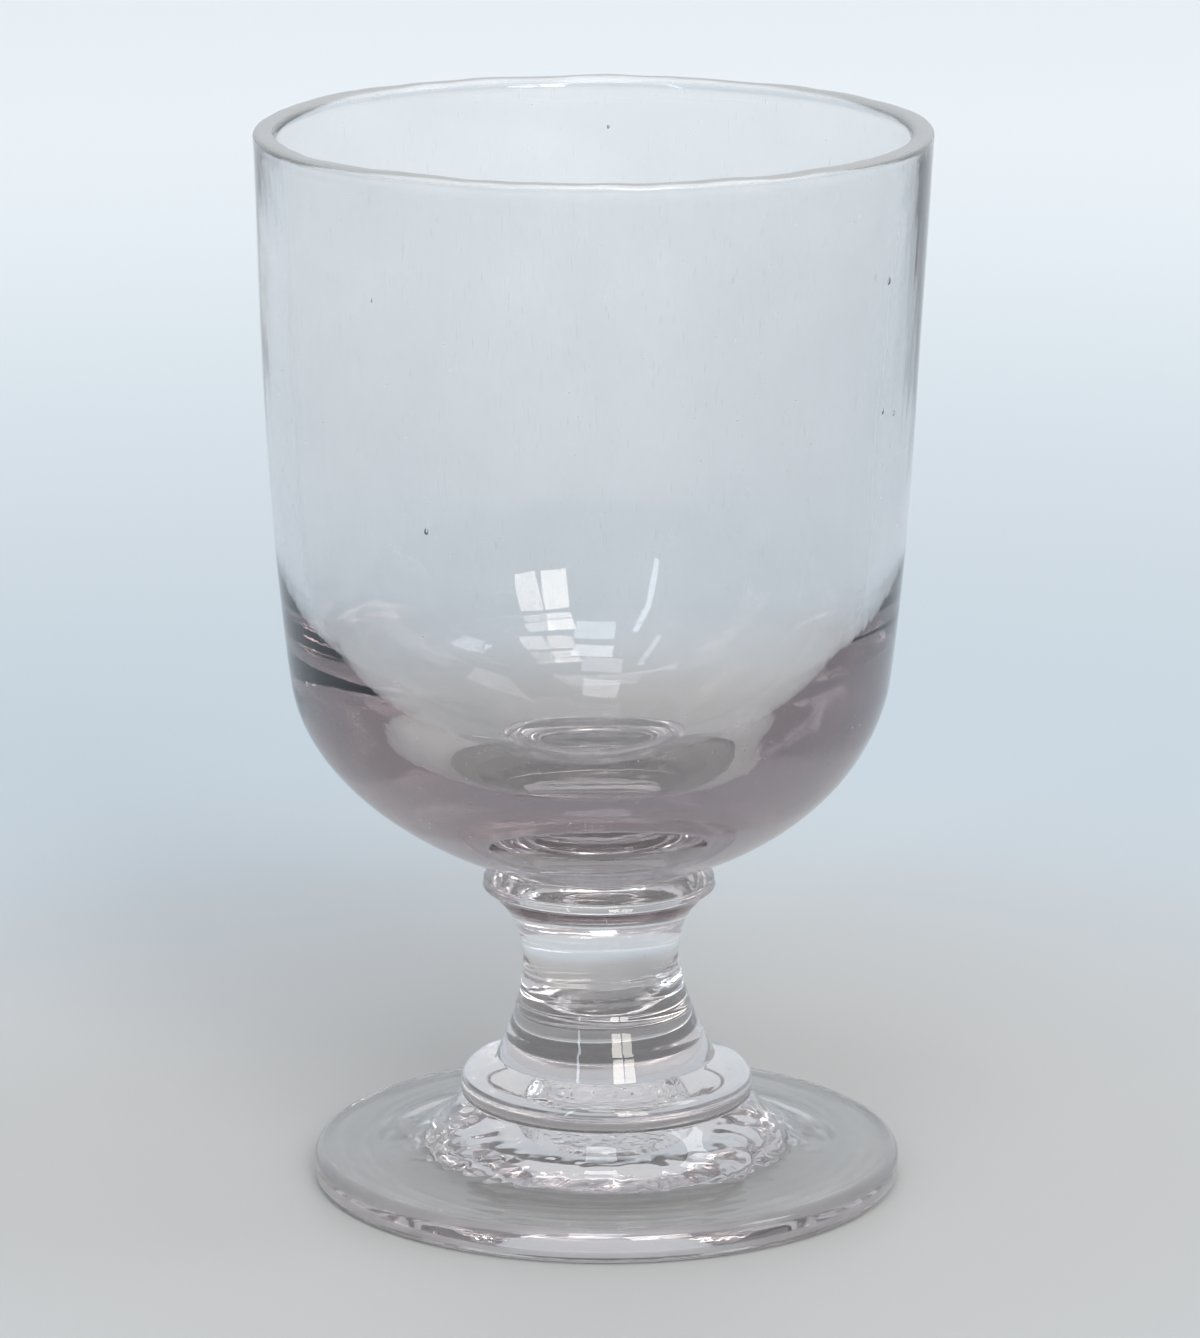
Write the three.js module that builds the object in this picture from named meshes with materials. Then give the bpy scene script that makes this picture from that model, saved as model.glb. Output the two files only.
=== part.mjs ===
// Rummer: a short-stemmed drinking glass, worked hot from separate gathers of glass.
// Units are millimetres. +Z is up, and the origin is on the table at the middle of the foot.
import * as THREE from 'three';

// Foot, from its edge in to the dome that carries the stem
const FOOT_RADIUS = 38.7;
const FOOT_EDGE_HEIGHT = 4.4;
const FOOT_TOP_ROUND = 1.6;
const FOOT_LOWER_ROUND = 1.3;
const FOOT_BRIM_RISE = 0.6;
const FOOT_DOME_RADIUS = 27;
const FOOT_DOME_HEIGHT = 6.1;
const FOOT_DOME_SLOPE = 45;
const FOOT_DOME_PULL = 4;

// Hollow under the foot, with a flat roof where the pontil was broken off
const HOLLOW_RADIUS = 32;
const HOLLOW_DEPTH = 2.6;
const HOLLOW_ROOF_MARGIN = 3;
const HOLLOW_ROOF_PULL = 6.8;
const HOLLOW_RING_PULL = 3.6;
const HOLLOW_RING_SLOPE = 18.4;
const SCAR_RADIUS = 8.5;
const SCAR_DEPTH = 1.4;
const SCAR_LIP_WIDTH = 2.4;
const SCAR_CRATER_DEPTH = 0.8;
const SCAR_WAVER = 0.06;
const SCAR_LOBES = 3;
const SCAR_RIPPLES = 7;

// Step disc, the lower collar between foot and stem
const DISC_FOOT_RADIUS = 18.8;
const DISC_RADIUS = 19.25;
const DISC_HEIGHT = 5.4;
const DISC_EDGE_HEIGHT = 1.6;
const DISC_TOP_SLOPE = 18;
const DISC_TOP_PULL = 3;
const DISC_EDGE_PULL = 2;

// Stem
const STEM_FOOT_RADIUS = 14.4;
const STEM_NECK_RADIUS = 10.3;
const STEM_TOP_RADIUS = 13.4;
const STEM_HEIGHT = 21.5;
const STEM_NECK_HEIGHT = 13.7;
const STEM_FOOT_SLOPE = 27;
const STEM_FOOT_PULL = 4;
const STEM_TOP_SLOPE = 45;
const STEM_TOP_PULL = 2.8;
const STEM_NECK_PULL_DOWN = 4.5;
const STEM_NECK_PULL_UP = 3;

// Upper collar, under the bowl
const COLLAR_RADIUS = 15.3;
const COLLAR_HEIGHT = 4.4;
const COLLAR_EDGE_HEIGHT = 2.2;
const COLLAR_UNDER_SLOPE = 45;
const COLLAR_EDGE_PULL = 1.2;

// Bowl, outside
const BOWL_SEAT_RADIUS = 12.4;
const BOWL_SEAT_SLOPE = 18.3;
const BOWL_SEAT_PULL = 15.2;
const BOWL_HEIGHT = 97.6;
const BOWL_SHOULDER_RADIUS = 39.1;
const BOWL_SHOULDER_HEIGHT = 25.6;
const BOWL_SHOULDER_TAPER = 7.4;
const BOWL_SHOULDER_PULL = 11.3;
const BOWL_WALL_PULL = 22;
const BOWL_RIM_RADIUS = 43.55;
const BOWL_RIM_FLARE = 2.7;

// Bowl, inside: a thick wall that narrows a little to the lip, over a heavy base
const RIM_WALL = 3;
const CAVITY_RIM_SLOPE = 9;
const CAVITY_RIM_PULL = 8;
const SHOULDER_WALL = 2.2;
const CAVITY_SHOULDER_LIFT = 18;
const CAVITY_SHOULDER_TAPER = 3.5;
const CAVITY_SHOULDER_PULL = 24;
const CAVITY_WALL_PULL = 32;
const CAVITY_FLOOR_PULL = 22.5;
const BASE_THICKNESS = 11;

// Facets: steps round every turned piece, and points along its curves
const TURN_STEPS = 48;
const CURVE_STEPS = 8;
const WALL_STEPS = 4;
const ROUND_STEPS = 4;
const SAME_POINT = 1e-6;

// Glass surface
const GLASS_ROUGHNESS = 0.05;
const GLASS_OPACITY = 0.4;

// Levels of the joint faces, stacked up from the table
const discLevel = FOOT_EDGE_HEIGHT + FOOT_BRIM_RISE + FOOT_DOME_HEIGHT;
const stemLevel = discLevel + DISC_HEIGHT;
const collarLevel = stemLevel + STEM_HEIGHT;
const bowlLevel = collarLevel + COLLAR_HEIGHT;
const rimLevel = bowlLevel + BOWL_HEIGHT;

const radians = THREE.MathUtils.degToRad;
const point = (radius, level) => new THREE.Vector2(radius, level);

// A point moved from another by a length, at an angle above the horizontal.
function along(start, length, angle) {
  return point(start.x + length * Math.cos(radians(angle)), start.y + length * Math.sin(radians(angle)));
}

// A smooth curve between two points, drawn towards its two handles.
function curve(start, startHandle, endHandle, end, steps) {
  return new THREE.CubicBezierCurve(start, startHandle, endHandle, end).getPoints(steps);
}

// A rounded edge about a centre, between two angles.
function round(centre, radius, fromAngle, toAngle) {
  const clockwise = toAngle < fromAngle;
  const arc = new THREE.EllipseCurve(
    centre.x, centre.y, radius, radius, radians(fromAngle), radians(toAngle), clockwise,
  );
  return arc.getPoints(ROUND_STEPS);
}

// Joins stretches of an outline and drops a point that repeats the one before it.
function outline(...stretches) {
  const points = stretches.flat();
  const repeats = (p, i) => i > 0 && p.distanceTo(points[i - 1]) < SAME_POINT;
  return points.filter((p, i) => !repeats(p, i));
}

// Turns an outline, which runs from the axis at the bottom to the axis at the top, about +Z.
function turned(points) {
  return new THREE.LatheGeometry(points, TURN_STEPS).rotateX(Math.PI / 2);
}

// Foot: flat ring on the table, rounded edge, nearly flat brim and a dome up to the step disc.
function footOutline() {
  const roof = point(SCAR_RADIUS + HOLLOW_ROOF_MARGIN, HOLLOW_DEPTH);
  const ring = point(HOLLOW_RADIUS, 0);
  const hollow = curve(
    roof,
    point(roof.x + HOLLOW_ROOF_PULL, roof.y),
    along(ring, HOLLOW_RING_PULL, 180 - HOLLOW_RING_SLOPE),
    ring,
    CURVE_STEPS,
  );
  const lower = round(point(FOOT_RADIUS - FOOT_LOWER_ROUND, FOOT_LOWER_ROUND), FOOT_LOWER_ROUND, -90, 0);
  const upperCentre = point(FOOT_RADIUS - FOOT_TOP_ROUND, FOOT_EDGE_HEIGHT - FOOT_TOP_ROUND);
  const upper = round(upperCentre, FOOT_TOP_ROUND, 0, 90);
  const brim = point(FOOT_DOME_RADIUS, FOOT_EDGE_HEIGHT + FOOT_BRIM_RISE);
  const seat = point(DISC_FOOT_RADIUS, discLevel);
  const dome = curve(
    brim,
    point(brim.x - FOOT_DOME_PULL, brim.y),
    along(seat, FOOT_DOME_PULL, -FOOT_DOME_SLOPE),
    seat,
    CURVE_STEPS,
  );
  return outline([point(0, HOLLOW_DEPTH)], hollow, lower, upper, dome, [point(0, discLevel)]);
}

// Pontil scar: a broken, wavering ring of glass left in the roof of the hollow.
function scarGeometry() {
  const low = HOLLOW_DEPTH - SCAR_DEPTH;
  const crater = low + SCAR_CRATER_DEPTH;
  const inner = SCAR_RADIUS - SCAR_LIP_WIDTH;
  const geometry = turned([
    point(0, crater),
    point(inner, crater),
    point((inner + SCAR_RADIUS) / 2, low),
    point(SCAR_RADIUS, (low + HOLLOW_DEPTH) / 2),
    point(SCAR_RADIUS, HOLLOW_DEPTH),
    point(0, HOLLOW_DEPTH),
  ]);
  const place = geometry.attributes.position;
  for (let i = 0; i < place.count; i += 1) {
    const angle = Math.atan2(place.getY(i), place.getX(i));
    const swell = 1 + SCAR_WAVER * (Math.sin(SCAR_LOBES * angle) + Math.sin(SCAR_RIPPLES * angle) / 2);
    place.setXY(i, place.getX(i) * swell, place.getY(i) * swell);
  }
  return geometry;
}

// Step disc: flat joint faces, a rounded edge and a gently falling top.
function discOutline() {
  const edge = point(DISC_RADIUS, discLevel + DISC_EDGE_HEIGHT);
  const low = point(DISC_FOOT_RADIUS, discLevel);
  const seat = point(STEM_FOOT_RADIUS, stemLevel);
  const bulge = curve(
    low,
    point(DISC_RADIUS, low.y),
    point(edge.x, edge.y - DISC_EDGE_HEIGHT / 2),
    edge,
    ROUND_STEPS,
  );
  const top = curve(
    edge,
    point(edge.x, edge.y + DISC_EDGE_PULL),
    along(seat, DISC_TOP_PULL, -DISC_TOP_SLOPE),
    seat,
    CURVE_STEPS,
  );
  return outline([point(0, discLevel)], bulge, top, [point(0, stemLevel)]);
}

// Stem: drawn in to a neck, flaring down to the disc and up to the collar.
function stemOutline() {
  const low = point(STEM_FOOT_RADIUS, stemLevel);
  const neck = point(STEM_NECK_RADIUS, stemLevel + STEM_NECK_HEIGHT);
  const top = point(STEM_TOP_RADIUS, collarLevel);
  const flare = curve(
    low,
    along(low, STEM_FOOT_PULL, 90 + STEM_FOOT_SLOPE),
    point(neck.x, neck.y - STEM_NECK_PULL_DOWN),
    neck,
    CURVE_STEPS,
  );
  const throat = curve(
    neck,
    point(neck.x, neck.y + STEM_NECK_PULL_UP),
    along(top, STEM_TOP_PULL, STEM_TOP_SLOPE - 180),
    top,
    CURVE_STEPS,
  );
  return outline([point(0, stemLevel)], flare, throat, [point(0, collarLevel)]);
}

// Upper collar: a thick disc with a full round edge.
function collarOutline() {
  const low = point(STEM_TOP_RADIUS, collarLevel);
  const edge = point(COLLAR_RADIUS, collarLevel + COLLAR_EDGE_HEIGHT);
  const seat = point(BOWL_SEAT_RADIUS, bowlLevel);
  const under = curve(
    low,
    along(low, COLLAR_EDGE_PULL, COLLAR_UNDER_SLOPE),
    point(edge.x, edge.y - COLLAR_EDGE_PULL),
    edge,
    ROUND_STEPS,
  );
  const over = curve(
    edge,
    point(edge.x, edge.y + COLLAR_EDGE_PULL),
    point(seat.x + COLLAR_EDGE_PULL, seat.y),
    seat,
    ROUND_STEPS,
  );
  return outline([point(0, collarLevel)], under, over, [point(0, bowlLevel)]);
}

// Bowl: round-bottomed bucket with a heavy base, a thick wall and a fire-rounded lip.
function bowlOutline() {
  const lipRound = RIM_WALL / 2;
  const lipCentre = point(BOWL_RIM_RADIUS - lipRound, rimLevel - lipRound);
  const seat = point(BOWL_SEAT_RADIUS, bowlLevel);
  const shoulder = point(BOWL_SHOULDER_RADIUS, bowlLevel + BOWL_SHOULDER_HEIGHT);
  const wallAngle = 90 - BOWL_SHOULDER_TAPER;
  const cavityAngle = 90 - CAVITY_SHOULDER_TAPER;
  const rimAngle = -90 - BOWL_RIM_FLARE;
  const rim = point(BOWL_RIM_RADIUS, lipCentre.y);
  const belly = curve(
    seat,
    along(seat, BOWL_SEAT_PULL, BOWL_SEAT_SLOPE),
    along(shoulder, -BOWL_SHOULDER_PULL, wallAngle),
    shoulder,
    CURVE_STEPS,
  );
  const wall = curve(
    shoulder,
    along(shoulder, BOWL_WALL_PULL, wallAngle),
    along(rim, BOWL_WALL_PULL, rimAngle),
    rim,
    WALL_STEPS,
  );
  const lip = round(lipCentre, lipRound, 0, 180);
  const innerRim = point(BOWL_RIM_RADIUS - RIM_WALL, lipCentre.y);
  const innerShoulder = point(BOWL_SHOULDER_RADIUS - SHOULDER_WALL, shoulder.y + CAVITY_SHOULDER_LIFT);
  const innerWall = curve(
    innerRim,
    along(innerRim, CAVITY_RIM_PULL, -90 - CAVITY_RIM_SLOPE),
    along(innerShoulder, CAVITY_WALL_PULL, cavityAngle),
    innerShoulder,
    CURVE_STEPS,
  );
  const floor = point(0, bowlLevel + BASE_THICKNESS);
  const innerBelly = curve(
    innerShoulder,
    along(innerShoulder, -CAVITY_SHOULDER_PULL, cavityAngle),
    point(CAVITY_FLOOR_PULL, floor.y),
    floor,
    CURVE_STEPS,
  );
  return outline([point(0, bowlLevel)], belly, wall, lip, innerWall, innerBelly);
}

// One named piece of glass with its own tint.
function piece(name, geometry, colour) {
  const material = new THREE.MeshStandardMaterial({
    color: colour,
    roughness: GLASS_ROUGHNESS,
    metalness: 0,
    transparent: true,
    opacity: GLASS_OPACITY,
  });
  const mesh = new THREE.Mesh(geometry, material);
  mesh.name = name;
  return mesh;
}

const rummer = new THREE.Group();
rummer.name = 'rummer';
rummer.add(
  piece('foot', turned(footOutline()), 0xc9cccf),
  piece('pontil_scar', scarGeometry(), 0xd6d2c8),
  piece('step_disc', turned(discOutline()), 0xc3bfc0),
  piece('stem', turned(stemOutline()), 0xbcb8bb),
  piece('upper_collar', turned(collarOutline()), 0xc4b3ad),
  piece('bowl', turned(bowlOutline()), 0xb9b6bd),
);

export default rummer;
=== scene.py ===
"""Looks of the rummer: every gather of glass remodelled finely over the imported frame, in metres."""
import logging
import math
from dataclasses import dataclass, field
from enum import Enum
from functools import cached_property
from typing import Dict, List, Optional, Sequence, Tuple

import bpy
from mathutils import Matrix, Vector


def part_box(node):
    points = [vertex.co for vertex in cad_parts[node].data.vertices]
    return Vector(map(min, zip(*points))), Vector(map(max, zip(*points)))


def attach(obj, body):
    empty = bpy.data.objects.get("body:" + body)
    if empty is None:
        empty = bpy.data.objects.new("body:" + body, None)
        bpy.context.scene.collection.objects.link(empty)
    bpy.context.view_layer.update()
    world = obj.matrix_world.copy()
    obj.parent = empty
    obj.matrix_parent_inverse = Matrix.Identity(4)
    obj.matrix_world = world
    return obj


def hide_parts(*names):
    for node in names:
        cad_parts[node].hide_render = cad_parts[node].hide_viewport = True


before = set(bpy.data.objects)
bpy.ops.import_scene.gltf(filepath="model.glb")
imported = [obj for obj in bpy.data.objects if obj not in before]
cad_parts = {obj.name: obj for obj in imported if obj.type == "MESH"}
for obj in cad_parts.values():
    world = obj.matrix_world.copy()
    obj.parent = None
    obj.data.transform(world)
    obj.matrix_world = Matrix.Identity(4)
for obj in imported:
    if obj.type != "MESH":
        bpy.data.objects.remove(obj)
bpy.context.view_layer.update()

MM = 0.001
BODY = "root"
SKIN = "glass_skin"
WEAR = "worn"

Point = Tuple[float, float]
Colour = Tuple[float, float, float]

log = logging.getLogger("rummer")


def eased(share: float) -> float:
    """A share, held between 0 and 1 and eased at both ends."""
    held = min(max(share, 0.0), 1.0)
    return held * held * (3 - 2 * held)


class Grain(Enum):
    """How a surface was worked, which sets the run of its fine marks."""

    BLOWN = "long streaks up a blown wall"
    TURNED = "tool rings round the axis"
    BROKEN = "crinkles that run nowhere"


class Push(Enum):
    """Which way a push moves the skin."""

    OUT = "NORMAL"
    ASIDE = "X"
    UP = "Z"


@dataclass(frozen=True)
class Lean:
    """How far the hand-made glass stands off its axis: pairs of level and shift aside."""

    stops: Tuple[Point, ...] = (
        (11 * MM, 0.0),
        (40 * MM, -0.99 * MM),
        (64 * MM, -2.09 * MM),
        (105 * MM, -2.09 * MM),
        (140 * MM, -1.7 * MM),
    )

    def at(self, level: float) -> float:
        """Shift of the glass at a level, eased from each stop to the next.

        Args:
            level: the level.

        Returns:
            The shift aside.
        """
        for (low, start), (high, end) in zip(self.stops, self.stops[1:]):
            if level < high:
                return start + (end - start) * eased((level - low) / (high - low))
        return self.stops[-1][1]


@dataclass(frozen=True)
class Joint:
    """A fused joint: a flat disc where one gather was stuck to the next."""

    radius: float
    level: float
    gap: float = 0.02 * MM

    @property
    def under(self) -> float:
        """Level of the lower piece's face."""
        return self.level - self.gap / 2

    @property
    def over(self) -> float:
        """Level of the upper piece's face."""
        return self.level + self.gap / 2

    def holds(self, centre: Vector) -> bool:
        """True if a face with this centre lies in the joint."""
        return abs(centre.z - self.level) < self.gap and math.hypot(centre.x, centre.y) < self.radius


def along(start: Point, length: float, angle: float) -> Point:
    """Moves a point by a length.

    Args:
        start: radius and level to start from.
        length: how far to go.
        angle: direction above the horizontal, in degrees.

    Returns:
        The radius and level that it reaches.
    """
    turn = math.radians(angle)
    return start[0] + length * math.cos(turn), start[1] + length * math.sin(turn)


def bend(start: Point, start_handle: Point, end_handle: Point, end: Point, steps: int) -> List[Point]:
    """A smooth curve between two points, drawn towards its handles.

    Args:
        start: first point.
        start_handle: handle of the first point.
        end_handle: handle of the last point.
        end: last point.
        steps: number of straight steps along the curve.

    Returns:
        The points of the curve, both ends included.
    """
    points = []
    for i in range(steps + 1):
        t = i / steps
        weights = ((1 - t) ** 3, 3 * t * (1 - t) ** 2, 3 * t * t * (1 - t), t ** 3)
        corners = (start, start_handle, end_handle, end)
        points.append((
            sum(w * c[0] for w, c in zip(weights, corners)),
            sum(w * c[1] for w, c in zip(weights, corners)),
        ))
    return points


def rounded(centre: Point, radius: float, from_angle: float, to_angle: float, steps: int) -> List[Point]:
    """A round stretch of an outline.

    Args:
        centre: centre of the arc.
        radius: radius of the arc.
        from_angle: where it starts, in degrees.
        to_angle: where it ends, in degrees.
        steps: number of straight steps along the arc.

    Returns:
        The points of the arc, both ends included.
    """
    step = (to_angle - from_angle) / steps
    return [along(centre, radius, from_angle + i * step) for i in range(steps + 1)]


def straight(start: Point, end: Point, steps: int) -> List[Point]:
    """A straight stretch of an outline, cut into even steps, both ends included."""
    shares = [i / steps for i in range(steps + 1)]
    return [(start[0] + s * (end[0] - start[0]), start[1] + s * (end[1] - start[1])) for s in shares]


def joined(*stretches: Sequence[Point]) -> List[Point]:
    """Joins stretches of an outline and drops a point that repeats the one before it.

    Args:
        stretches: the stretches, in order.

    Returns:
        The points of the whole outline.
    """
    same = 0.001 * MM
    points: List[Point] = []
    for point in (p for stretch in stretches for p in stretch):
        if not points or math.dist(point, points[-1]) > same:
            points.append(point)
    return points


class Nodes:
    """Short hand for the node tree of a new material or world."""

    def __init__(self, tree: bpy.types.NodeTree) -> None:
        """Empties the tree."""
        self.tree = tree
        tree.nodes.clear()

    def add(self, kind: str, **inputs: object) -> bpy.types.Node:
        """Adds a node.

        Args:
            kind: Blender's name of the node type.
            inputs: values of its sockets, with _ for a space in a socket's name.

        Returns:
            The new node.
        """
        node = self.tree.nodes.new(kind)
        for name, value in inputs.items():
            node.inputs[name.replace("_", " ")].default_value = value
        return node

    def spread(self, source: bpy.types.NodeSocket, span: Point, result: Point) -> bpy.types.NodeSocket:
        """Maps a span of values to another one, held at both ends.

        Args:
            source: the values.
            span: first and last value of the span.
            result: what these two become.

        Returns:
            The mapped values.
        """
        node = self.add(
            "ShaderNodeMapRange", From_Min=span[0], From_Max=span[1], To_Min=result[0], To_Max=result[1]
        )
        self.link(source, node.inputs["Value"])
        return node.outputs["Result"]

    def link(self, source: bpy.types.NodeSocket, target: bpy.types.NodeSocket) -> None:
        """Links two sockets."""
        self.tree.links.new(source, target)


@dataclass(frozen=True)
class GlassFinish:
    """Smoky soda-lead glass: clear skin with fine working marks, and a body that darkens with depth."""

    name: str
    grain: Grain
    smoke: Colour = (0.585, 0.522, 0.537)
    density: float = 30.0
    ior: float = 1.55
    skin: Colour = (0.985, 0.98, 0.974)
    dusk: Colour = (0.945, 0.94, 0.935)
    polish: float = 0.0
    smear: float = 0.045
    smear_size: float = 14 * MM
    smear_detail: float = 4.0
    smear_grain: float = 0.6
    smear_span: Point = (0.45, 0.8)
    dusk_span: Point = (0.35, 0.8)
    mark_size: float = 2.5 * MM
    mark_depth: float = 0.008 * MM
    mark_detail: float = 2.0
    mark_grain: float = 0.5
    streak_pitch: float = 0.04
    frost_clear: float = 0.66
    frost_rough: float = 0.3
    speck_pitch: float = 3.2 * MM
    speck_share: float = 0.03
    scratch_width: float = 0.14 * MM
    scratch_length: float = 5 * MM
    scratch_strength: float = 0.5
    scratch_span: Point = (0.805, 0.86)
    scratch_turns: Tuple[Tuple[float, float, float], ...] = ((0.5, 0.3, 0.0), (-0.9, 0.5, 0.4))

    def material(self) -> bpy.types.Material:
        """Builds the finish.

        Returns:
            The new material.
        """
        material = bpy.data.materials.new(self.name)
        material.use_nodes = True
        nodes = Nodes(material.node_tree)
        output = nodes.add("ShaderNodeOutputMaterial")
        shader = nodes.add("ShaderNodeBsdfPrincipled", IOR=self.ior)
        body = nodes.add("ShaderNodeVolumeAbsorption", Color=(*self.smoke, 1), Density=self.density)
        nodes.link(shader.outputs["BSDF"], output.inputs["Surface"])
        nodes.link(body.outputs["Volume"], output.inputs["Volume"])
        place = nodes.add("ShaderNodeTexCoord").outputs["Object"]
        self._dress_skin(nodes, place, shader)
        self._dress_marks(nodes, place, shader)
        skin = nodes.add("ShaderNodeAttribute")
        skin.attribute_name = SKIN
        nodes.link(skin.outputs["Fac"], shader.inputs["Alpha"])
        return material

    def _dress_skin(self, nodes: Nodes, place: bpy.types.NodeSocket, shader: bpy.types.Node) -> None:
        """Gives the skin its faint smears, which take polish off it, and its dull spots.

        Args:
            nodes: the material's tree.
            place: Object coordinates.
            shader: the surface shader.
        """
        cloud = nodes.add(
            "ShaderNodeTexNoise",
            Scale=1 / self.smear_size,
            Detail=self.smear_detail,
            Roughness=self.smear_grain,
        )
        nodes.link(place, cloud.inputs["Vector"])
        ramp = nodes.add("ShaderNodeValToRGB")
        for stop, position, colour in zip(ramp.color_ramp.elements, self.dusk_span, (self.skin, self.dusk)):
            stop.position = position
            stop.color = (*colour, 1)
        nodes.link(cloud.outputs["Fac"], ramp.inputs["Fac"])
        nodes.link(ramp.outputs["Color"], shader.inputs["Base Color"])
        worn = nodes.spread(cloud.outputs["Fac"], self.smear_span, (self.polish, self.smear))
        frost = self._frost(nodes, place)
        rough = nodes.add("ShaderNodeMath")
        rough.operation = "MULTIPLY_ADD"
        rough.inputs[1].default_value = self.frost_rough
        nodes.link(frost, rough.inputs[0])
        nodes.link(worn, rough.inputs[2])
        nodes.link(rough.outputs["Value"], shader.inputs["Roughness"])
        clear = nodes.spread(frost, (0.0, 1.0), (1.0, self.frost_clear))
        nodes.link(clear, shader.inputs["Transmission Weight"])

    def _frost(self, nodes: Nodes, place: bpy.types.NodeSocket) -> bpy.types.NodeSocket:
        """Mask of the dull spots: worn edges, specks of dust and fine scratches.

        Args:
            nodes: the material's tree.
            place: Object coordinates.

        Returns:
            The mask, 1 where the skin is dull.
        """
        edges = nodes.add("ShaderNodeAttribute")
        edges.attribute_name = WEAR
        dust = nodes.add("ShaderNodeTexVoronoi", Scale=1 / self.speck_pitch)
        nodes.link(place, dust.inputs["Vector"])
        specks = nodes.add("ShaderNodeMath")
        specks.operation = "LESS_THAN"
        specks.inputs[1].default_value = self.speck_share
        nodes.link(dust.outputs["Distance"], specks.inputs[0])
        masks = [edges.outputs["Fac"], specks.outputs["Value"]]
        masks += [self._scratches(nodes, place, turn) for turn in self.scratch_turns]
        frost = masks[0]
        for mask in masks[1:]:
            more = nodes.add("ShaderNodeMath")
            more.operation = "MAXIMUM"
            nodes.link(frost, more.inputs[0])
            nodes.link(mask, more.inputs[1])
            frost = more.outputs["Value"]
        return frost

    def _scratches(
        self, nodes: Nodes, place: bpy.types.NodeSocket, turn: Tuple[float, float, float]
    ) -> bpy.types.NodeSocket:
        """Mask of one set of fine scratches.

        Args:
            nodes: the material's tree.
            place: Object coordinates.
            turn: how the set is turned, in radians.

        Returns:
            The mask, 1 in a scratch.
        """
        run = nodes.add("ShaderNodeMapping")
        run.inputs["Rotation"].default_value = turn
        run.inputs["Scale"].default_value = (
            1 / self.scratch_width, 1 / self.scratch_width, 1 / self.scratch_length
        )
        nodes.link(place, run.inputs["Vector"])
        grain = nodes.add("ShaderNodeTexNoise", Scale=1.0, Detail=0.0)
        nodes.link(run.outputs["Vector"], grain.inputs["Vector"])
        return nodes.spread(grain.outputs["Fac"], self.scratch_span, (0.0, self.scratch_strength))

    def _dress_marks(self, nodes: Nodes, place: bpy.types.NodeSocket, shader: bpy.types.Node) -> None:
        """Gives the skin the relief that its working left.

        Args:
            nodes: the material's tree.
            place: Object coordinates.
            shader: the surface shader.
        """
        marks = nodes.add(
            "ShaderNodeTexNoise",
            Scale=1 / self.mark_size,
            Detail=self.mark_detail,
            Roughness=self.mark_grain,
        )
        nodes.link(self._run(nodes, place), marks.inputs["Vector"])
        relief = nodes.add("ShaderNodeBump", Strength=1.0, Distance=self.mark_depth)
        nodes.link(marks.outputs["Fac"], relief.inputs["Height"])
        nodes.link(relief.outputs["Normal"], shader.inputs["Normal"])

    def _run(self, nodes: Nodes, place: bpy.types.NodeSocket) -> bpy.types.NodeSocket:
        """Stretches the coordinates along the run of the marks.

        Args:
            nodes: the material's tree.
            place: Object coordinates.

        Returns:
            The stretched coordinates.
        """
        if self.grain is Grain.TURNED:
            parts = nodes.add("ShaderNodeSeparateXYZ")
            nodes.link(place, parts.inputs[0])
            flat = nodes.add("ShaderNodeCombineXYZ")
            nodes.link(parts.outputs["X"], flat.inputs["X"])
            nodes.link(parts.outputs["Y"], flat.inputs["Y"])
            reach = nodes.add("ShaderNodeVectorMath")
            reach.operation = "LENGTH"
            nodes.link(flat.outputs["Vector"], reach.inputs[0])
            rings = nodes.add("ShaderNodeCombineXYZ")
            nodes.link(reach.outputs["Value"], rings.inputs["X"])
            nodes.link(parts.outputs["Z"], rings.inputs["Z"])
            return rings.outputs["Vector"]
        stretch = nodes.add("ShaderNodeMapping")
        stretch.inputs["Scale"].default_value = (
            1, 1, self.streak_pitch if self.grain is Grain.BLOWN else 1
        )
        nodes.link(place, stretch.inputs["Vector"])
        return stretch.outputs["Vector"]


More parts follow.
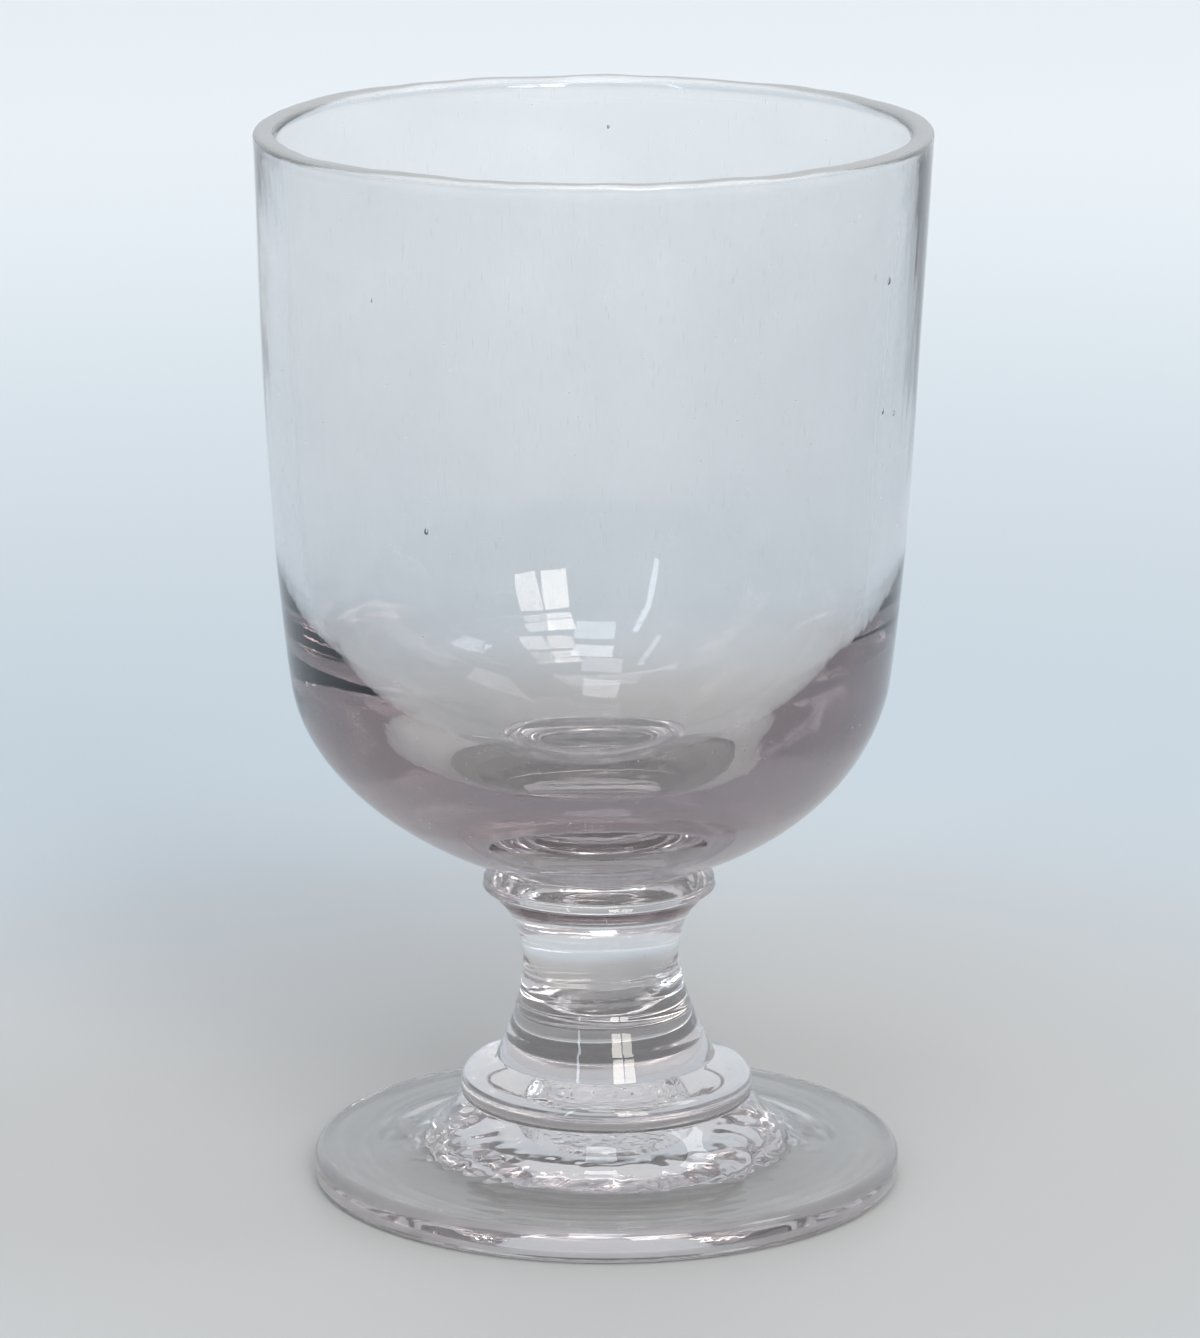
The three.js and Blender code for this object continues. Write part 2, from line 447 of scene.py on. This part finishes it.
class Bench:
    """The glass worker's bench: turns outlines into closed bodies and works their skin."""

    steps = 192
    speck = 1 * MM
    swell_detail = 2
    swell_middle = 0.5
    seed_stretch = 1.5
    seed_segments = 16
    seed_rings = 8
    weld = 0.001 * MM
    crease = math.radians(32)

    @classmethod
    def turn(cls, name: str, outline: Sequence[Point]) -> bpy.types.Object:
        """Turns an outline about the axis.

        Args:
            name: name of the piece.
            outline: radius and level of each point, from the axis round to the axis.

        Returns:
            The closed body.
        """
        bpy.ops.object.select_all(action="DESELECT")
        bpy.ops.mesh.primitive_plane_add(size=cls.speck)
        piece = bpy.context.object
        piece.name = piece.data.name = name
        bpy.ops.object.mode_set(mode="EDIT")
        bpy.ops.mesh.select_all(action="SELECT")
        bpy.ops.mesh.merge(type="CENTER")
        bpy.ops.transform.translate(value=(outline[0][0], 0, outline[0][1]))
        for before, after in zip(outline, outline[1:]):
            move = (after[0] - before[0], 0, after[1] - before[1])
            bpy.ops.mesh.extrude_vertices_move(TRANSFORM_OT_translate={"value": move})
        bpy.ops.mesh.select_all(action="SELECT")
        bpy.ops.mesh.spin(steps=cls.steps, angle=2 * math.pi, center=(0, 0, 0), axis=(0, 0, 1))
        bpy.ops.mesh.select_all(action="SELECT")
        bpy.ops.mesh.remove_doubles(threshold=cls.weld)
        bpy.ops.mesh.normals_make_consistent(inside=False)
        bpy.ops.object.mode_set(mode="OBJECT")
        return piece

    @classmethod
    def push(
        cls,
        piece: bpy.types.Object,
        weights: Dict[int, float],
        depth: float,
        way: Push = Push.OUT,
        size: float = 0.0,
    ) -> None:
        """Pushes the skin, evenly or by a soft noise, as hand work leaves it.

        Args:
            piece: the body to work.
            weights: share of the full depth, by vertex.
            depth: full height of the push.
            way: which way it goes.
            size: size of the noise's swells, or 0 for an even push.
        """
        group = piece.vertex_groups.new(name="worked")
        for index, weight in weights.items():
            group.add([index], weight, "REPLACE")
        swell = piece.modifiers.new("swell", "DISPLACE")
        swell.direction = way.value
        swell.vertex_group = group.name
        swell.strength = depth
        swell.mid_level = 0.0
        if size:
            noise = bpy.data.textures.new(f"{piece.name}_swell", "CLOUDS")
            noise.noise_scale = size
            noise.noise_depth = cls.swell_detail
            swell.texture = noise
            swell.texture_coords = "LOCAL"
            swell.mid_level = cls.swell_middle
        bpy.context.view_layer.objects.active = piece
        bpy.ops.object.modifier_apply(modifier=swell.name)
        piece.vertex_groups.clear()

    @classmethod
    def seed(cls, piece: bpy.types.Object, spot: Tuple[float, float, float], radius: float) -> None:
        """Leaves a seed, a small closed bubble drawn out upwards, inside the glass.

        Args:
            piece: the body that holds it.
            spot: centre of the bubble.
            radius: its half width.
        """
        cls.pick(piece)
        bpy.ops.object.mode_set(mode="EDIT")
        bpy.ops.mesh.select_all(action="DESELECT")
        bpy.ops.mesh.primitive_uv_sphere_add(
            segments=cls.seed_segments,
            ring_count=cls.seed_rings,
            radius=radius,
            location=spot,
            scale=(1, 1, cls.seed_stretch),
        )
        bpy.ops.mesh.flip_normals()
        bpy.ops.object.mode_set(mode="OBJECT")

    @classmethod
    def smooth(cls, piece: bpy.types.Object) -> None:
        """Shades the skin smooth and keeps the corners at the joints."""
        cls.pick(piece)
        bpy.ops.object.shade_smooth_by_angle(angle=cls.crease)

    @staticmethod
    def pick(piece: bpy.types.Object) -> None:
        """Selects a piece alone and makes it the active one.

        Args:
            piece: the piece to pick.
        """
        bpy.ops.object.select_all(action="DESELECT")
        piece.select_set(True)
        bpy.context.view_layer.objects.active = piece


@dataclass
class GlassPiece:
    """One gather of glass, which stands for a CAD node."""

    node: str
    finish: GlassFinish
    slot: str
    lower: Optional[Joint] = None
    upper: Optional[Joint] = None
    lean: Lean = Lean()

    @cached_property
    def radius(self) -> float:
        """Greatest radius of the CAD node."""
        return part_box(self.node)[1].x

    @cached_property
    def low(self) -> float:
        """Lowest level of the piece."""
        return self.lower.over if self.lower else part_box(self.node)[0].z

    @cached_property
    def high(self) -> float:
        """Highest level of the piece."""
        return self.upper.under if self.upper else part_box(self.node)[1].z

    def outline(self) -> List[Point]:
        """Outline of the body, from the axis round to the axis."""
        raise NotImplementedError

    def work(self, piece: bpy.types.Object) -> None:
        """Hand work on the turned body. A plain piece has none."""

    def wear(self, vertex: bpy.types.MeshVertex) -> float:
        """How dull use has made the skin at a vertex, from 0 to 1."""
        return 0.0

    def make(self) -> bpy.types.Object:
        """Builds, dresses and places the piece.

        Returns:
            The finished piece.
        """
        piece = Bench.turn(f"{self.node}_glass", self.outline())
        self.work(piece)
        self.mark_skin(piece)
        self.tip(piece)
        Bench.smooth(piece)
        piece.data.materials.append(self.finish.material())
        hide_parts(self.node)
        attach(piece, BODY)
        log.info("%s: %d faces", piece.name, len(piece.data.polygons))
        return piece

    def mark_skin(self, piece: bpy.types.Object) -> None:
        """Tells the skin, which bends light, from the fused joints, which don't, and marks its wear.

        Args:
            piece: the finished body.
        """
        joints = [j for j in (self.lower, self.upper) if j]
        skin = piece.data.attributes.new(SKIN, "FLOAT", "FACE")
        for face in piece.data.polygons:
            skin.data[face.index].value = 0.0 if any(j.holds(face.center) for j in joints) else 1.0
        worn = piece.data.attributes.new(WEAR, "FLOAT", "POINT")
        for vertex in piece.data.vertices:
            worn.data[vertex.index].value = self.wear(vertex)

    def tip(self, piece: bpy.types.Object) -> None:
        """Sets the piece off the axis by the lean of the whole glass.

        Args:
            piece: the worked body.
        """
        most = min(shift for _, shift in self.lean.stops)
        shares = {v.index: self.lean.at(v.co.z) / most for v in piece.data.vertices}
        Bench.push(piece, shares, most, Push.ASIDE)


@dataclass
class Bowl(GlassPiece):
    """Round-bottomed bucket bowl with a heavy base and a thin, fire-rounded lip."""

    seat_slope: float = 18.3
    seat_pull: float = 15.2 * MM
    shoulder_radius: float = 39.1 * MM
    shoulder_height: float = 25.6 * MM
    shoulder_taper: float = 7.4
    shoulder_pull: float = 11.3 * MM
    wall_pull: float = 22 * MM
    rim_flare: float = 2.7
    rim_wall: float = 3.05 * MM
    lip_outer_round: float = 0.8 * MM
    lip_inner_round: float = 1.5 * MM
    cavity_rim_slope: float = 6.0
    cavity_rim_pull: float = 8 * MM
    shoulder_wall: float = 2.2 * MM
    cavity_shoulder_lift: float = 18 * MM
    cavity_shoulder_taper: float = 3.5
    cavity_shoulder_pull: float = 24 * MM
    cavity_wall_pull: float = 32 * MM
    cavity_floor_pull: float = 22.5 * MM
    base_thickness: float = 11 * MM
    swell_size: float = 16 * MM
    swell_depth: float = 0.12 * MM
    waver_reach: float = 5 * MM
    waver_size: float = 11 * MM
    waver_depth: float = 0.7 * MM
    cavity_shift: float = -0.35 * MM
    cavity_ease: float = 12 * MM
    cavity_rim_ease: float = 48 * MM
    wear_top: float = 0.32 * MM
    wear_fade: float = 0.8 * MM
    seeds: Tuple[Tuple[float, float, float, float], ...] = (
        (36.6 * MM, -20.0 * MM, 123.9 * MM, 0.34 * MM),
        (-20.0 * MM, -34.4 * MM, 95.0 * MM, 0.28 * MM),
        (2.0 * MM, 41.8 * MM, 133.2 * MM, 0.18 * MM),
        (37.0 * MM, -15.0 * MM, 106.0 * MM, 0.24 * MM),
        (-31.0 * MM, 26.5 * MM, 112.0 * MM, 0.22 * MM),
        (9.0 * MM, -6.0 * MM, 48.0 * MM, 0.3 * MM),
        (-14.0 * MM, -9.0 * MM, 51.0 * MM, 0.24 * MM),
    )
    curve_steps: int = 40
    lip_steps: int = 12

    def outline(self) -> List[Point]:
        """Outside up to the lip, and down the inside to the floor.

        Returns:
            The points, from the axis round to the axis.
        """
        outer_lip = (self.radius - self.lip_outer_round, self.high - self.lip_outer_round)
        inner_lip = (self.radius - self.rim_wall + self.lip_inner_round, self.high - self.lip_inner_round)
        seat = (self.lower.radius, self.low)
        shoulder = (self.shoulder_radius, self.low + self.shoulder_height)
        wall_angle = 90 - self.shoulder_taper
        rim = (self.radius, outer_lip[1])
        belly = bend(
            seat,
            along(seat, self.seat_pull, self.seat_slope),
            along(shoulder, -self.shoulder_pull, wall_angle),
            shoulder,
            self.curve_steps,
        )
        wall = bend(
            shoulder,
            along(shoulder, self.wall_pull, wall_angle),
            along(rim, self.wall_pull, -90 - self.rim_flare),
            rim,
            self.curve_steps,
        )
        inner_rim = (self.radius - self.rim_wall, inner_lip[1])
        inner_shoulder = (self.shoulder_radius - self.shoulder_wall, shoulder[1] + self.cavity_shoulder_lift)
        cavity_angle = 90 - self.cavity_shoulder_taper
        inner_wall = bend(
            inner_rim,
            along(inner_rim, self.cavity_rim_pull, -90 - self.cavity_rim_slope),
            along(inner_shoulder, self.cavity_wall_pull, cavity_angle),
            inner_shoulder,
            self.curve_steps,
        )
        floor = (0.0, self.low + self.base_thickness)
        inner_belly = bend(
            inner_shoulder,
            along(inner_shoulder, -self.cavity_shoulder_pull, cavity_angle),
            (self.cavity_floor_pull, floor[1]),
            floor,
            self.curve_steps,
        )
        return joined(
            [(0.0, self.low)],
            belly,
            wall,
            rounded(outer_lip, self.lip_outer_round, 0, 90, self.lip_steps),
            rounded(inner_lip, self.lip_inner_round, 90, 180, self.lip_steps),
            inner_wall,
            inner_belly,
        )

    def work(self, piece: bpy.types.Object) -> None:
        """Leaves the wall and the lip a little uneven, the inside off centre, and the base true.

        Args:
            piece: the turned bowl.
        """
        start = self.low + self.shoulder_height
        floor = self.low + self.base_thickness
        swell, waver, inside = {}, {}, {}
        for vertex in piece.data.vertices:
            spot, facing = vertex.co, vertex.normal
            swell[vertex.index] = min(max((spot.z - start) / (self.high - start), 0), 1)
            waver[vertex.index] = min(max(1 - (self.high - spot.z) / self.waver_reach, 0), 1)
            if facing.x * spot.x + facing.y * spot.y < 0:
                above, below = spot.z - floor, self.high - spot.z
                inside[vertex.index] = eased(min(above / self.cavity_ease, below / self.cavity_rim_ease))
        Bench.push(piece, swell, self.swell_depth, size=self.swell_size)
        Bench.push(piece, inside, self.cavity_shift, Push.ASIDE)
        Bench.push(piece, waver, self.waver_depth, Push.UP, self.waver_size)
        for x, y, z, radius in self.seeds:
            Bench.seed(piece, (x, y, z), radius)

    def wear(self, vertex: bpy.types.MeshVertex) -> float:
        """Dulls the top of the lip."""
        start = self.high - self.wear_top - self.wear_fade
        return min(max((vertex.co.z - start) / self.wear_fade, 0), 1)


@dataclass
class UpperCollar(GlassPiece):
    """Flared disc under the bowl, with a double ridge round its edge and a falling top."""

    ridge_level: float = 2.65 * MM
    ridge_inset: float = 0.12 * MM
    lower_ridge_level: float = 1.8 * MM
    ridge_round: float = 0.3 * MM
    ridge_start: float = -60.0
    ridge_end: float = 65.0
    groove_side: float = 40.0
    under_slope: float = 45.0
    under_pull: float = 0.8 * MM
    top_slope: float = 36.0
    top_pull: float = 0.9 * MM
    curve_steps: int = 12

    def outline(self) -> List[Point]:
        """Up the flare, over the two ridges and in to the bowl's seat.

        Returns:
            The points, from the axis round to the axis.
        """
        low = (self.lower.radius, self.low)
        seat = (self.upper.radius, self.high)
        lower_ridge = (self.radius - self.ridge_round, self.low + self.lower_ridge_level)
        ridge = (lower_ridge[0] - self.ridge_inset, self.low + self.ridge_level)
        first = along(lower_ridge, self.ridge_round, self.ridge_start)
        last = along(ridge, self.ridge_round, self.ridge_end)
        under = bend(
            low,
            along(low, self.under_pull, self.under_slope),
            along(first, self.under_pull, self.ridge_start - 90),
            first,
            self.curve_steps,
        )
        over = bend(
            last,
            along(last, self.top_pull, self.ridge_end + 90),
            along(seat, self.top_pull, -self.top_slope),
            seat,
            self.curve_steps,
        )
        return joined(
            [(0.0, self.low)],
            under,
            rounded(lower_ridge, self.ridge_round, self.ridge_start, self.groove_side, self.curve_steps),
            rounded(ridge, self.ridge_round, -self.groove_side, self.ridge_end, self.curve_steps),
            over,
            [(0.0, self.high)],
        )


@dataclass
class Stem(GlassPiece):
    """Solid stem, drawn in to a neck, with a few tool rings on its flare."""

    neck_radius: float = 10.3 * MM
    neck_height: float = 13.7 * MM
    foot_slope: float = 27.0
    foot_pull: float = 4 * MM
    neck_pull_down: float = 4.5 * MM
    neck_pull_up: float = 3 * MM
    top_slope: float = 45.0
    top_pull: float = 2.8 * MM
    ring_heights: Tuple[float, ...] = (3.4 * MM, 7.4 * MM)
    ring_width: float = 0.5 * MM
    ring_rise: float = 0.07 * MM
    curve_steps: int = 48

    def outline(self) -> List[Point]:
        """Up the flare to the neck, and out again to the collar.

        Returns:
            The points, from the axis round to the axis.
        """
        low = (self.lower.radius, self.low)
        neck = (self.neck_radius, self.low + self.neck_height)
        top = (self.upper.radius, self.high)
        flare = bend(
            low,
            along(low, self.foot_pull, 90 + self.foot_slope),
            (neck[0], neck[1] - self.neck_pull_down),
            neck,
            self.curve_steps,
        )
        throat = bend(
            neck,
            (neck[0], neck[1] + self.neck_pull_up),
            along(top, self.top_pull, self.top_slope - 180),
            top,
            self.curve_steps // 2,
        )
        return joined([(0.0, self.low)], [self._ringed(p) for p in flare], throat, [(0.0, self.high)])

    def _ringed(self, point: Point) -> Point:
        """A point of the flare, swollen where a tool ring runs.

        Args:
            point: radius and level of the point.

        Returns:
            The swollen point.
        """
        height = point[1] - self.low
        swell = sum(math.exp(-(((height - ring) / self.ring_width) ** 2)) for ring in self.ring_heights)
        return point[0] + self.ring_rise * swell, point[1]


@dataclass
class StepDisc(GlassPiece):
    """Lower collar with a rounded edge and a gently falling top."""

    edge_height: float = 1.6 * MM
    edge_pull: float = 2 * MM
    top_slope: float = 18.0
    top_pull: float = 3 * MM
    curve_steps: int = 24

    def outline(self) -> List[Point]:
        """Out to the edge, round it and up to the stem's seat.

        Returns:
            The points, from the axis round to the axis.
        """
        low = (self.lower.radius, self.low)
        edge = (self.radius, self.low + self.edge_height)
        seat = (self.upper.radius, self.high)
        bulge = bend(
            low,
            (self.radius, self.low),
            (self.radius, edge[1] - self.edge_height / 2),
            edge,
            self.curve_steps // 2,
        )
        top = bend(
            edge,
            (edge[0], edge[1] + self.edge_pull),
            along(seat, self.top_pull, -self.top_slope),
            seat,
            self.curve_steps,
        )
        return joined([(0.0, self.low)], bulge, top, [(0.0, self.high)])


@dataclass
class Foot(GlassPiece):
    """Thick foot: a dome in the middle, a ringed brim and a rough hollow underneath."""

    edge_height: float = 4.4 * MM
    top_round: float = 1.6 * MM
    lower_round: float = 1.3 * MM
    brim_rise: float = 0.6 * MM
    dome_radius: float = 27 * MM
    dome_slope: float = 45.0
    dome_pull: float = 4 * MM
    hollow_radius: float = 32 * MM
    roof_radius: float = 11.5 * MM
    roof_pull: float = 6.8 * MM
    ring_pull: float = 6 * MM
    ring_slope: float = 4.0
    mark_pitch: float = 2.3 * MM
    mark_depth: float = 0.03 * MM
    rough_radius: float = 30 * MM
    rough_fade: float = 9 * MM
    rough_size: float = 2.5 * MM
    rough_depth: float = 0.55 * MM
    scuff: float = 0.6
    scuff_depth: float = 0.12 * MM
    curve_steps: int = 24

    @cached_property
    def low(self) -> float:
        """Level of the ring that the glass stands on."""
        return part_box(self.node)[0].z

    def outline(self) -> List[Point]:
        """Along the hollow to the resting ring, round the edge and up the dome.

        Returns:
            The points, from the axis round to the axis.
        """
        roof = (self.roof_radius, self.lower.over)
        ring = (self.hollow_radius, self.low)
        hollow = bend(
            roof,
            (roof[0] + self.roof_pull, roof[1]),
            along(ring, self.ring_pull, 180 - self.ring_slope),
            ring,
            self.curve_steps,
        )
        lower_centre = (self.radius - self.lower_round, self.low + self.lower_round)
        upper_centre = (self.radius - self.top_round, self.low + self.edge_height - self.top_round)
        shelf = (upper_centre[0], self.low + self.edge_height)
        brim = (self.dome_radius, self.low + self.edge_height + self.brim_rise)
        seat = (self.upper.radius, self.high)
        dome = bend(
            brim,
            (brim[0] - self.dome_pull, brim[1]),
            along(seat, self.dome_pull, -self.dome_slope),
            seat,
            self.curve_steps,
        )
        ringed = [self._ringed(p, shelf, brim) for p in straight(shelf, brim, 3 * self.curve_steps)]
        return joined(
            straight((0.0, self.lower.over), (self.lower.radius, self.lower.over), 1),
            straight((self.lower.radius, self.lower.over), roof, self.curve_steps // 4),
            hollow,
            rounded(lower_centre, self.lower_round, -90, 0, self.curve_steps // 2),
            rounded(upper_centre, self.top_round, 0, 90, self.curve_steps // 2),
            ringed,
            dome,
            [(0.0, self.high)],
        )

    def _ringed(self, point: Point, outer: Point, inner: Point) -> Point:
        """A point of the brim, lowered in the turning marks, which fade out at both ends.

        Args:
            point: radius and level of the point.
            outer: outer end of the brim.
            inner: inner end of the brim.

        Returns:
            The lowered point.
        """
        share = (outer[0] - point[0]) / (outer[0] - inner[0])
        fade = math.sin(math.pi * share)
        wave = (1 - math.cos(2 * math.pi * (outer[0] - point[0]) / self.mark_pitch)) / 2
        return point[0], point[1] - self.mark_depth * fade * wave

    def work(self, piece: bpy.types.Object) -> None:
        """Leaves the roof of the hollow crinkled round the scar, and the resting ring flat.

        Args:
            piece: the turned foot.
        """
        weights = {}
        for vertex in piece.data.vertices:
            reach = math.hypot(vertex.co.x, vertex.co.y)
            if vertex.normal.z < 0 and self.lower.radius < reach < self.rough_radius:
                inside = (reach - self.lower.radius) / self.rough_fade
                outside = (self.rough_radius - reach) / self.rough_fade
                weights[vertex.index] = min(inside, outside, 1)
        Bench.push(piece, weights, self.rough_depth, size=self.rough_size)

    def wear(self, vertex: bpy.types.MeshVertex) -> float:
        """Scuffs the ring that the glass stands on."""
        return self.scuff if vertex.co.z - self.low < self.scuff_depth else 0.0


@dataclass
class PontilScar(GlassPiece):
    """Broken ring of glass where the iron was knocked off."""

    lip_width: float = 2.4 * MM
    crater_depth: float = 0.8 * MM
    break_size: float = 2.2 * MM
    break_depth: float = 0.7 * MM
    curve_steps: int = 6

    def outline(self) -> List[Point]:
        """Across the crater, over the broken lip and up to the roof of the hollow.

        Returns:
            The points, from the axis round to the axis.
        """
        edge = self.upper.radius
        inner = edge - self.lip_width
        crater = self.low + self.crater_depth
        lip = ((inner + edge) / 2, self.low)
        side = (edge, (self.low + self.high) / 2)
        return joined(
            straight((0.0, crater), (inner, crater), 2 * self.curve_steps),
            straight((inner, crater), lip, self.curve_steps),
            straight(lip, side, self.curve_steps),
            straight(side, (edge, self.high), self.curve_steps),
            [(0.0, self.high)],
        )

    def work(self, piece: bpy.types.Object) -> None:
        """Roughens the break and leaves the joint face flat.

        Args:
            piece: the turned scar.
        """
        reach = self.high - self.low
        weights = {v.index: min(max((self.high - v.co.z) / reach, 0), 1) for v in piece.data.vertices}
        Bench.push(piece, weights, self.break_depth, size=self.break_size)


@dataclass(frozen=True)
class Pane:
    """One flat pane of soft light, placed by the directions in which the glass sees it, in degrees."""

    name: str
    azimuth: float
    elevation: float
    width: float
    height: float
    radiance: float
    tint: Colour = (1.0, 0.96, 0.89)

    def hang(self, centre: Vector, distance: float) -> None:
        """Hangs the pane so that it faces the glass.

        Args:
            centre: the point that it faces.
            distance: how far it hangs from that point.
        """
        turn, rise = math.radians(self.azimuth), math.radians(self.elevation)
        away = Vector((math.sin(turn) * math.cos(rise), -math.cos(turn) * math.cos(rise), math.sin(rise)))
        bpy.ops.object.light_add(type="AREA", location=centre + away * distance)
        lamp = bpy.context.object
        lamp.name = self.name
        lamp.rotation_euler = (-away).to_track_quat("-Z", "Y").to_euler()
        lamp.data.shape = "RECTANGLE"
        lamp.data.size = 2 * distance * math.tan(math.radians(self.width / 2))
        lamp.data.size_y = 2 * distance * math.tan(math.radians(self.height / 2))
        lamp.data.energy = self.radiance * math.pi * lamp.data.size * lamp.data.size_y
        lamp.data.color = self.tint
        lamp.visible_camera = False


@dataclass
class Stage:
    """Pale floor, darkened by painted shade near the glass, under an even soft light, with panes of window
    light beside the camera and above.
    """

    floor_size: float = 12.0
    floor_drop: float = 0.02 * MM
    floor_roughness: float = 0.5
    floor_tones_and_painted_shade: Tuple[Tuple[float, Colour], ...] = (
        # first stop: painted shade, the floor darker near the glass as if in its soft shadow; the farther
        # stops are the plain pale floor
        (0.06, (0.45, 0.445, 0.44)),
        (0.22, (0.47, 0.525, 0.57)),
        (0.90, (0.74, 0.775, 0.80)),
    )
    horizon: Colour = (0.66, 0.73, 0.79)
    zenith: Colour = (0.84, 0.85, 0.86)
    lamp_centre: Vector = field(default_factory=lambda: Vector((0, 0, 0.07)))
    lamp_distance: float = 4.0
    panes: Tuple[Pane, ...] = (
        Pane("window_low_left", 15.4, 28.0, 10.5, 16.0, 10.0),
        Pane("window_low_right", 28.8, 28.0, 10.5, 16.0, 8.0),
        Pane("window_high_left", 15.4, 46.0, 10.5, 15.0, 9.0),
        Pane("window_high_right", 28.8, 46.0, 10.5, 15.0, 4.0),
        Pane("sky_pane", -6.0, 55.0, 16.0, 16.0, 4.5, (0.86, 0.93, 1.0)),
        Pane("window_slit", -32.0, 34.0, 2.6, 38.0, 7.0, (0.80, 0.90, 1.0)),
        Pane("roof_light", -8.0, 76.0, 14.0, 13.0, 6.0, (0.90, 0.95, 1.0)),
        Pane("side_window", 88.0, 50.0, 14.0, 15.0, 4.0, (0.90, 0.95, 1.0)),
    )

    def make(self) -> None:
        """Builds the floor, the sky and the lamps."""
        self._floor()
        self._sky()
        for pane in self.panes:
            pane.hang(self.lamp_centre, self.lamp_distance)

    def _floor(self) -> None:
        """Lays the floor, a little deeper in tone near the glass: painted shade, a soft shadow pooled round
        the foot.
        """
        bpy.ops.object.select_all(action="DESELECT")
        bpy.ops.mesh.primitive_plane_add(size=self.floor_size, location=(0, 0, -self.floor_drop))
        floor = bpy.context.object
        floor.name = "floor"
        material = bpy.data.materials.new("pale_floor_painted_shade")
        material.use_nodes = True
        nodes = Nodes(material.node_tree)
        output = nodes.add("ShaderNodeOutputMaterial")
        shader = nodes.add("ShaderNodeBsdfPrincipled", Roughness=self.floor_roughness)
        reach = nodes.add("ShaderNodeVectorMath")
        reach.operation = "LENGTH"
        # floor tone by distance from the glass, darkest near it as painted shade
        tones_and_painted_shade = nodes.add("ShaderNodeValToRGB")
        tones_and_painted_shade.color_ramp.interpolation = "EASE"
        stops = tones_and_painted_shade.color_ramp.elements
        while len(stops) < len(self.floor_tones_and_painted_shade):
            stops.new(1.0)
        for stop, (position, colour) in zip(stops, self.floor_tones_and_painted_shade):
            stop.position = position
            stop.color = (*colour, 1)
        nodes.link(nodes.add("ShaderNodeTexCoord").outputs["Object"], reach.inputs[0])
        nodes.link(reach.outputs["Value"], tones_and_painted_shade.inputs["Fac"])
        nodes.link(tones_and_painted_shade.outputs["Color"], shader.inputs["Base Color"])
        nodes.link(shader.outputs["BSDF"], output.inputs["Surface"])
        floor.data.materials.append(material)

    def _sky(self) -> None:
        """Lights the room evenly, brighter from above."""
        world = bpy.data.worlds.new("soft_room")
        bpy.context.scene.world = world
        world.use_nodes = True
        nodes = Nodes(world.node_tree)
        output = nodes.add("ShaderNodeOutputWorld")
        light = nodes.add("ShaderNodeBackground", Strength=1.0)
        parts = nodes.add("ShaderNodeSeparateXYZ")
        tone = nodes.add("ShaderNodeValToRGB")
        tone.color_ramp.elements[0].color = (*self.horizon, 1)
        tone.color_ramp.elements[1].color = (*self.zenith, 1)
        nodes.link(nodes.add("ShaderNodeTexCoord").outputs["Generated"], parts.inputs[0])
        nodes.link(parts.outputs["Z"], tone.inputs["Fac"])
        nodes.link(tone.outputs["Color"], light.inputs["Color"])
        nodes.link(light.outputs["Background"], output.inputs["Surface"])


@dataclass
class PhotoCamera:
    """Camera at the photograph's angle and framing."""

    distance: float = 0.85
    height: float = 0.2804
    aside: float = -0.00086
    pitch: float = 13.99
    focal_pixels: float = 6720.0
    frame_height: float = 1338.0
    sensor: float = 36.0
    near_clip: float = 0.01
    glass_bounces: int = 32
    gloss_bounces: int = 12
    clear_bounces: int = 64

    def make(self) -> None:
        """Sets up the camera and the scene's view of colours and light paths."""
        bpy.ops.object.camera_add(location=(self.aside, -self.distance, self.height))
        camera = bpy.context.object
        camera.rotation_euler = (math.radians(90 - self.pitch), 0, 0)
        camera.data.lens = self.focal_pixels / self.frame_height * self.sensor
        camera.data.sensor_width = self.sensor
        camera.data.clip_start = self.near_clip
        scene = bpy.context.scene
        scene.camera = camera
        scene.view_settings.view_transform = "Standard"
        scene.cycles.max_bounces = self.glass_bounces
        scene.cycles.transmission_bounces = self.glass_bounces
        scene.cycles.glossy_bounces = self.gloss_bounces
        scene.cycles.transparent_max_bounces = self.clear_bounces


@dataclass
class Rummer:
    """The whole glass: six gathers, fused at five joints."""

    seat_radius: float = 12.4 * MM
    collar_radius: float = 13.4 * MM
    stem_radius: float = 14.4 * MM
    disc_radius: float = 18.8 * MM
    scar_radius: float = 8.5 * MM
    blown: GlassFinish = field(default_factory=lambda: GlassFinish("blown_glass", Grain.BLOWN))
    turned: GlassFinish = field(
        default_factory=lambda: GlassFinish(
            "turned_glass", Grain.TURNED, density=14.0, mark_size=1.6 * MM, mark_depth=0.006 * MM
        )
    )
    broken: GlassFinish = field(
        default_factory=lambda: GlassFinish(
            "broken_glass",
            Grain.BROKEN,
            density=14.0,
            polish=0.12,
            smear=0.35,
            mark_size=0.9 * MM,
            mark_depth=0.25 * MM,
        )
    )

    def make(self) -> List[bpy.types.Object]:
        """Builds the pieces from the foot up.

        Returns:
            The finished pieces.
        """
        scar = Joint(self.scar_radius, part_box("pontil_scar")[1].z)
        disc = Joint(self.disc_radius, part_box("step_disc")[0].z)
        stem = Joint(self.stem_radius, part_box("stem")[0].z)
        collar = Joint(self.collar_radius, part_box("upper_collar")[0].z)
        seat = Joint(self.seat_radius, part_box("bowl")[0].z)
        smoky, rough = "smoky_glass", "rough_glass"
        pieces = (
            Foot("foot", self.turned, smoky, scar, disc),
            PontilScar("pontil_scar", self.broken, rough, None, scar),
            StepDisc("step_disc", self.turned, smoky, disc, stem),
            Stem("stem", self.turned, smoky, stem, collar),
            UpperCollar("upper_collar", self.turned, smoky, collar, seat),
            Bowl("bowl", self.blown, smoky, seat, None),
        )
        return [piece.make() for piece in pieces]


def main() -> None:
    """Builds the camera, the glass and the stage."""
    logging.basicConfig(level=logging.INFO, format="%(name)s: %(message)s")
    PhotoCamera().make()
    Rummer().make()
    Stage().make()


if __name__ == "__main__":
    main()
